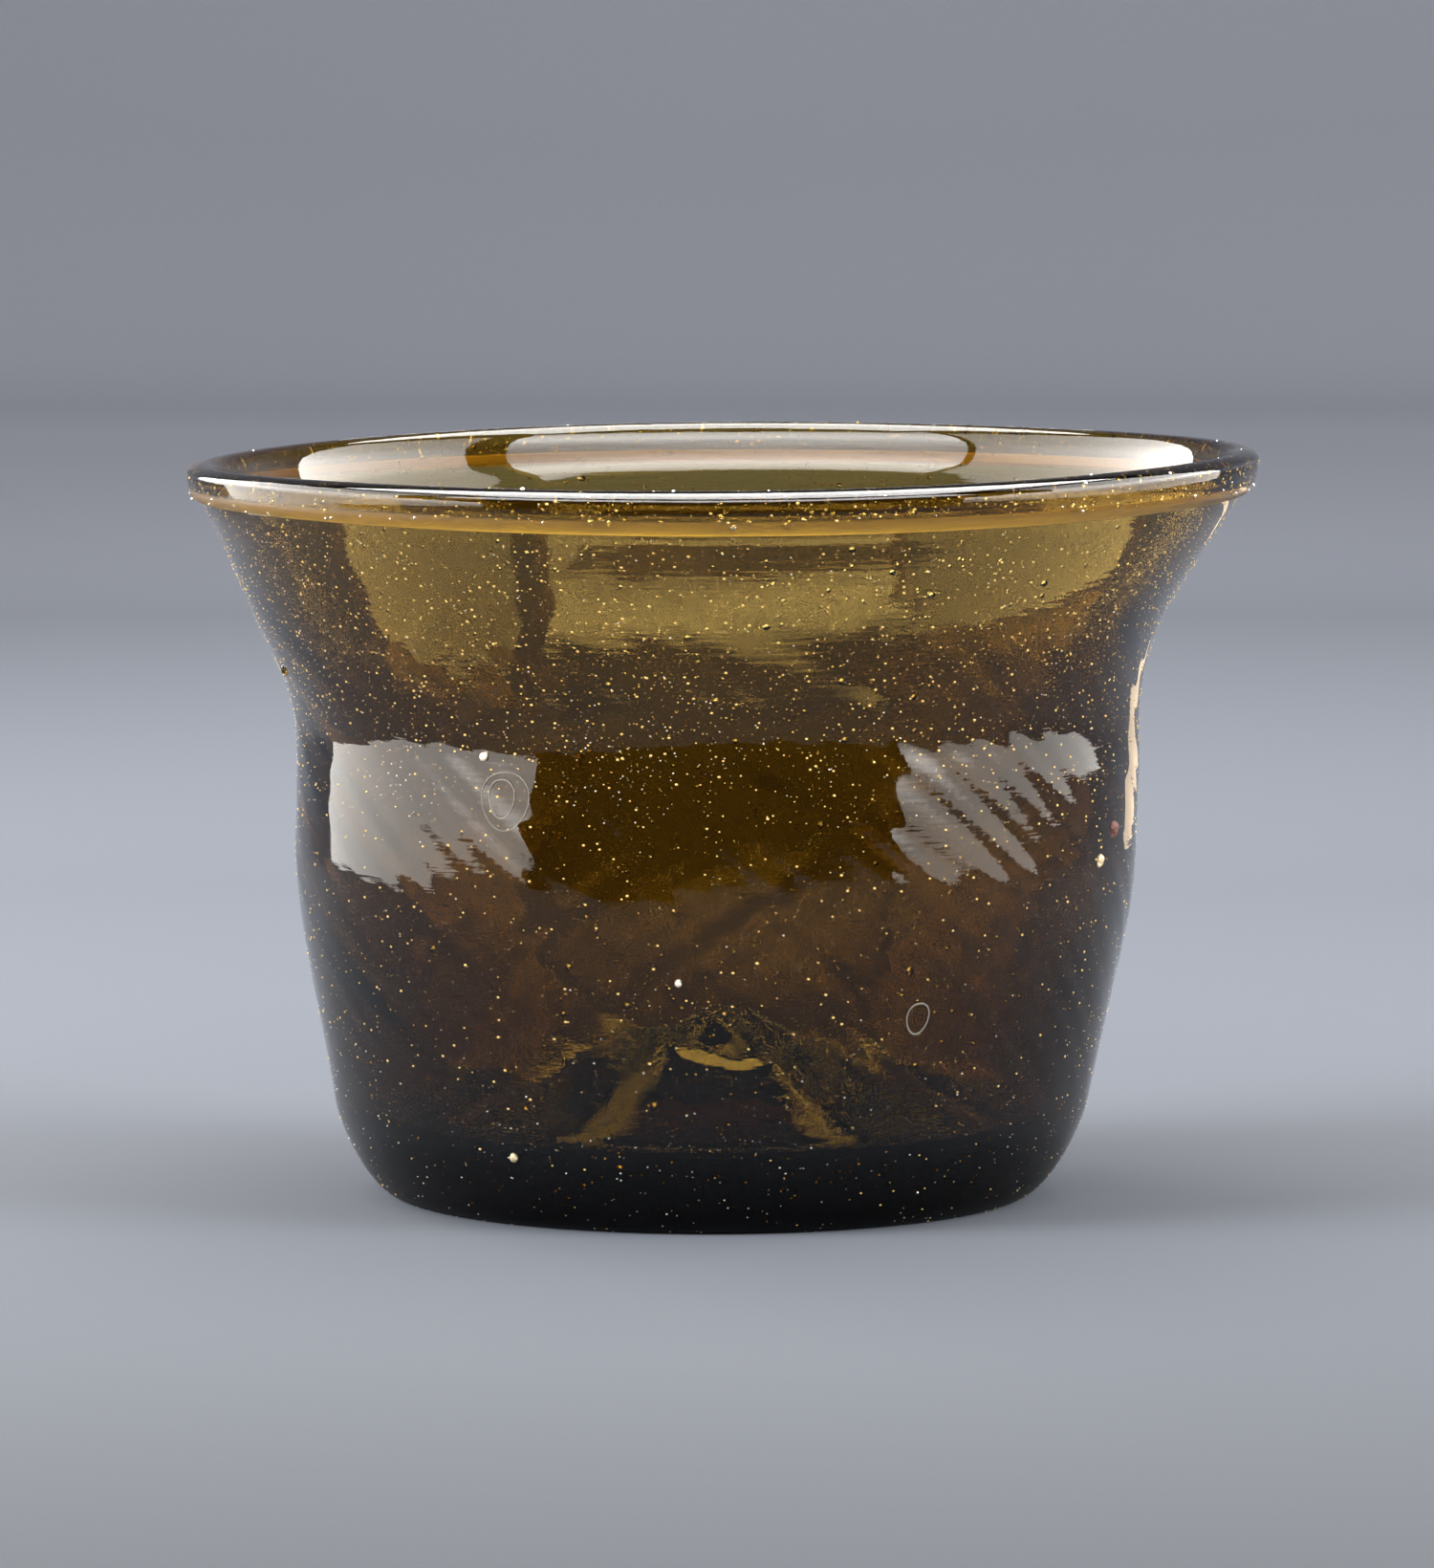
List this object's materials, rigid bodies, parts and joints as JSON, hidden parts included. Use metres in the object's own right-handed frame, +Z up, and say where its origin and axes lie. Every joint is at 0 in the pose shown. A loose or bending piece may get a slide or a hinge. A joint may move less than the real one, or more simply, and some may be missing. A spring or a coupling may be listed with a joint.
{
  "type": "glass bowl",
  "caption": "Free-blown bubbly amber glass bowl with a flaring mouth, a rim folded outward and a pushed-in base.",
  "frame": {"origin": "on the standing surface, under the middle of the mouth", "axes": "+Z up along the bowl's axis, +Y away from the front view, +X to its right"},
  "size_m": [0.1086, 0.1078, 0.0762],
  "materials": {
    "amber_glass": "fire-polished free-blown olive-amber glass with seed bubbles",
    "white_stone": "unmelted white grain, matt",
    "cream_stone": "unmelted cream grain, matt",
    "red_stone": "dark red-brown grain, satin",
    "knot_glass": "knot of harder amber glass"
  },
  "bodies": {
    "root": {"bowl_wall": "amber_glass", "rim_fold": "amber_glass", "pontil_wad": "amber_glass", "stone_white_high": "white_stone", "stone_white_low": "white_stone", "stone_cream": "cream_stone", "chip_pale": "cream_stone", "chip_red": "red_stone", "knot_amber": "knot_glass"}
  },
  "joints": []
}
